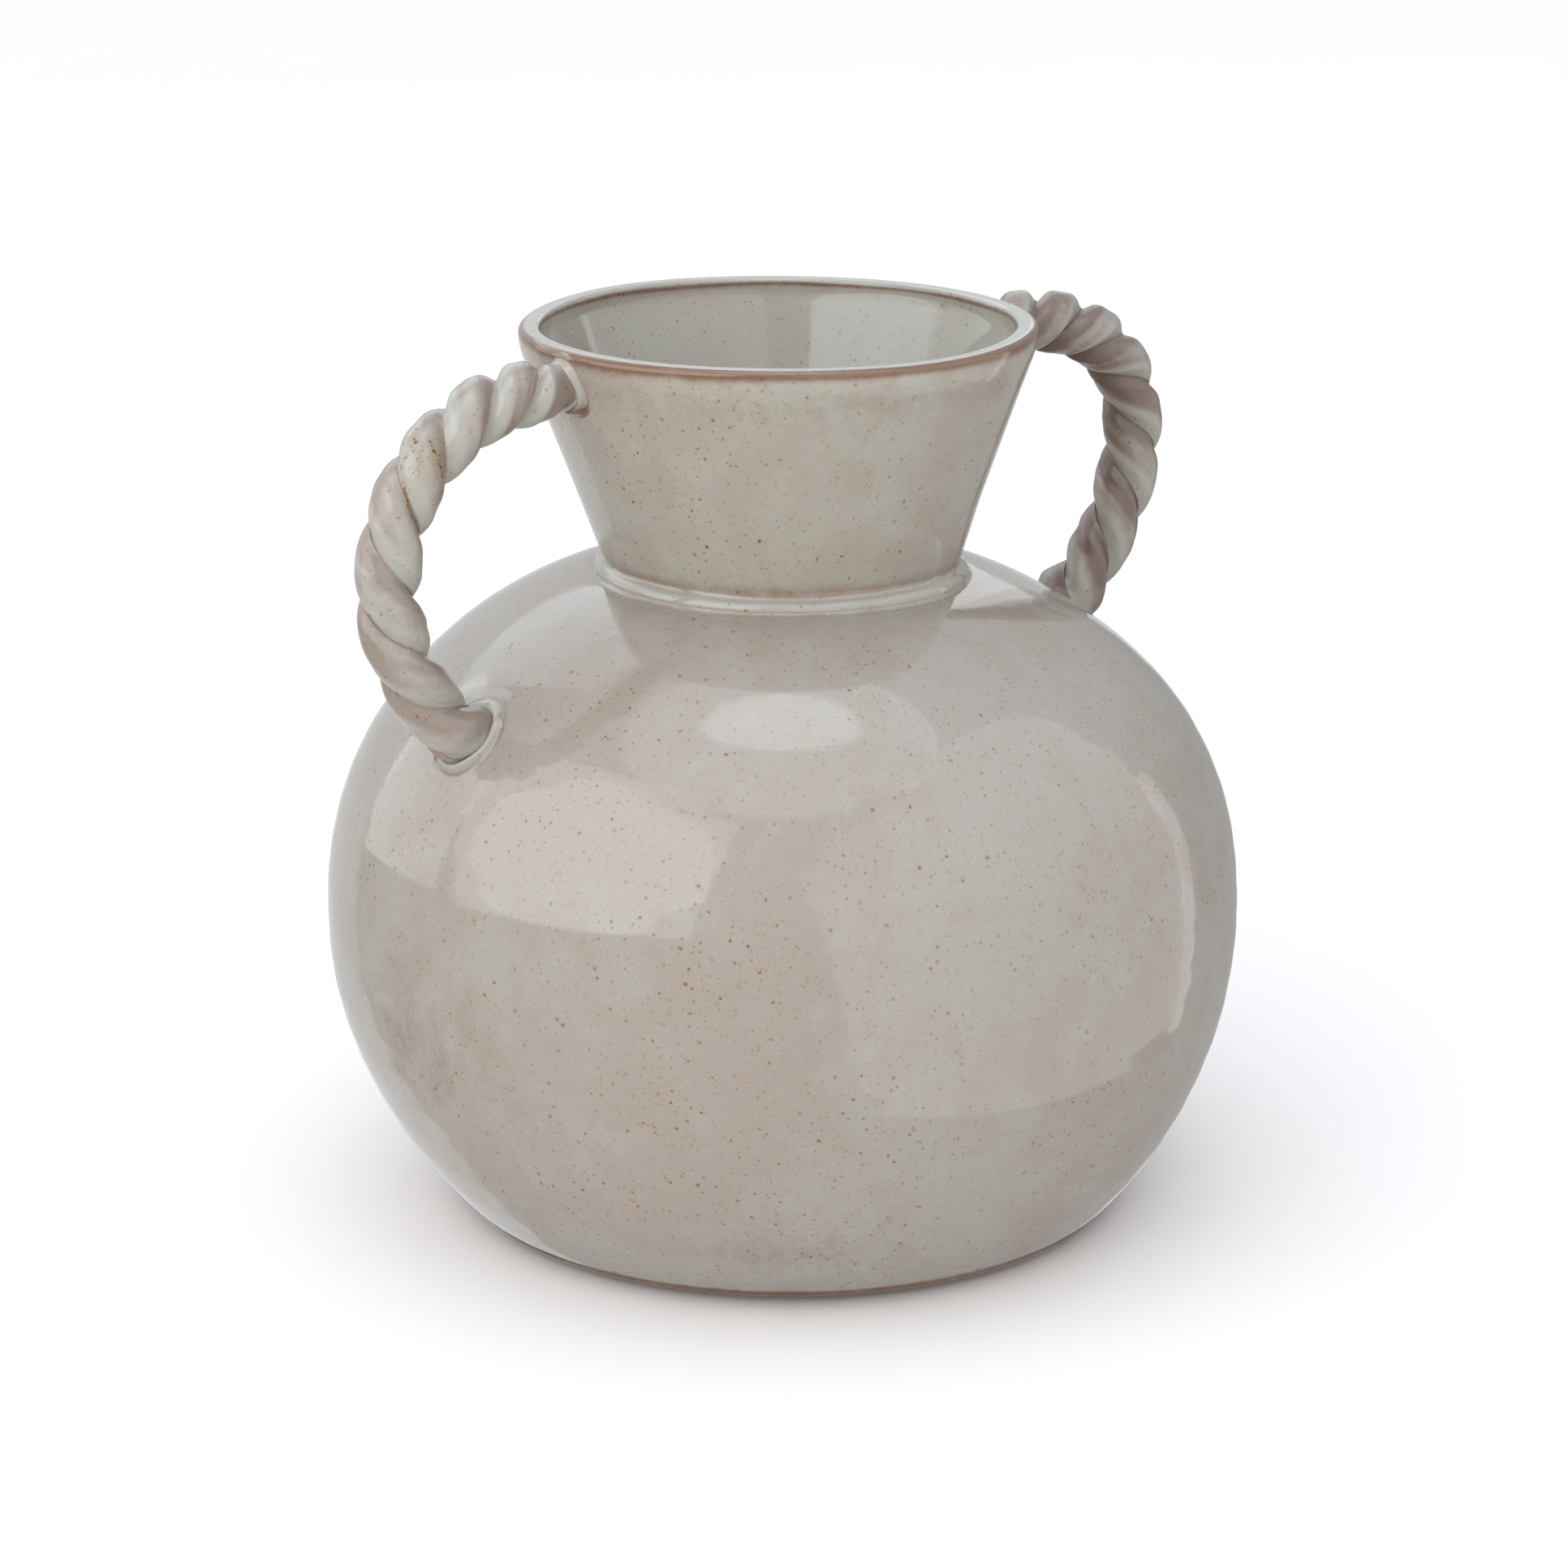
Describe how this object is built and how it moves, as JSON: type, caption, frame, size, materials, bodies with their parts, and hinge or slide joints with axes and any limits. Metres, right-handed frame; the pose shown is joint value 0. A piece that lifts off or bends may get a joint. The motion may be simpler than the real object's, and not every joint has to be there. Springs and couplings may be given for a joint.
{
  "type": "vase",
  "caption": "Round stoneware vase with a flared neck and a pair of twisted rope loop handles joined from neck to shoulder.",
  "frame": {"origin": "centre of the foot on the table, midway between the two handles' outermost points", "axes": "+Z is the throwing axis, up; the handles lie in the XZ plane, the left one on -X and the right one on +X; +Y completes the right-handed frame"},
  "size_m": [0.288, 0.27, 0.2632],
  "materials": {
    "glaze_body": "gloss",
    "glaze_neck": "gloss",
    "glaze_handle": "gloss",
    "glaze_pooled": "gloss",
    "bare_clay": "matte"
  },
  "bodies": {
    "root": {"body": "glaze_body", "foot_ring": "bare_clay", "neck": "glaze_neck", "neck_joint_coil": "glaze_pooled", "left_handle_strand_a": "glaze_handle", "left_handle_strand_b": "glaze_handle", "left_handle_upper_joint": "glaze_pooled", "left_handle_lower_joint": "glaze_pooled", "right_handle_strand_a": "glaze_handle", "right_handle_strand_b": "glaze_handle", "right_handle_upper_joint": "glaze_pooled", "right_handle_lower_joint": "glaze_pooled"}
  },
  "joints": []
}
